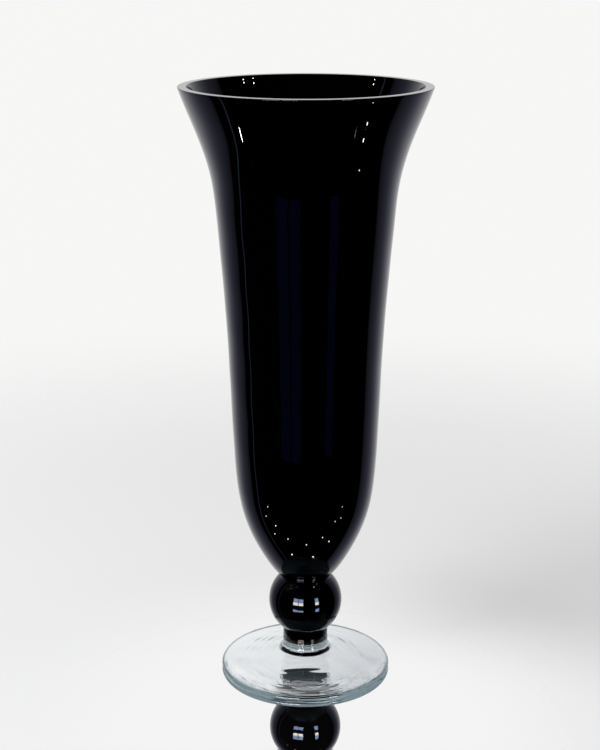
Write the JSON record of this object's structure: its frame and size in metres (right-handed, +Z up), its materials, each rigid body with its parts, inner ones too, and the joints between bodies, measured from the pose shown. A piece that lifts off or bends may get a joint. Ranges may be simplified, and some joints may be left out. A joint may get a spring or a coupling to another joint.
{
  "type": "trumpet vase",
  "caption": "Tall black glass trumpet vase: flared open bowl on a ball stem and short neck, carried by a round clear glass foot, for standing flower arrangements on a table.",
  "frame": {"origin": "centre of the foot's resting ring, on the surface that the vase stands on", "axes": "+Z up along the vase's axis, from the foot to the mouth; X and Y are equivalent, the vase being round"},
  "size_m": [0.2058, 0.2058, 0.508],
  "materials": {
    "black_glass": "opaque black, fire-polished, mirror gloss; rim ground and polished",
    "clear_glass": "clear with a faint blue-green cast, fire-polished, slightly wavy"
  },
  "bodies": {
    "root": {"bowl": "black_glass", "ball_knop": "black_glass", "stem_neck": "black_glass", "foot_button": "clear_glass", "foot_disc": "clear_glass"}
  },
  "joints": []
}
